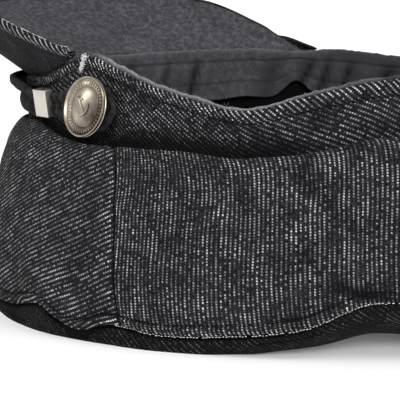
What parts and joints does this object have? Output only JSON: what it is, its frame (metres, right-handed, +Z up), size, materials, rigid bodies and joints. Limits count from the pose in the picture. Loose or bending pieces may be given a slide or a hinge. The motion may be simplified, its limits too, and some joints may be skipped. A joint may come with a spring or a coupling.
{
  "type": "skipper cap",
  "caption": "Denim skipper cap lying upside down on its crown, with a soft peak, a strap through metal sliders, buttons and an open head hollow.",
  "frame": {"origin": "middle of the cap's plan box, on the surface that it lies on", "axes": "+X towards the back of the head with the peak towards -X, +Y towards the wearer's left side, +Z up out of the head opening, because the cap lies upside down on its crown"},
  "size_m": [0.2628, 0.2086, 0.0949],
  "materials": {
    "denim": "charcoal black denim, coarse twill with pale flecks",
    "peak_underside": "brushed dark grey cotton",
    "sweatband_cotton": "matte dark grey cotton twill",
    "strap": "matte soft black leather",
    "slider_steel": "flat, softly polished",
    "button_silver": "antique silver, worn and tarnished in its hollows"
  },
  "bodies": {
    "root": {"crown_front": "denim", "crown_side_right": "denim", "crown_side_left": "denim", "crown_top": "denim", "band": "denim", "sweatband": "sweatband_cotton", "peak_top": "denim", "peak_under": "peak_underside", "strap": "strap", "slider_right": "slider_steel", "slider_left": "slider_steel", "button_right": "button_silver", "button_left": "button_silver"}
  },
  "joints": []
}
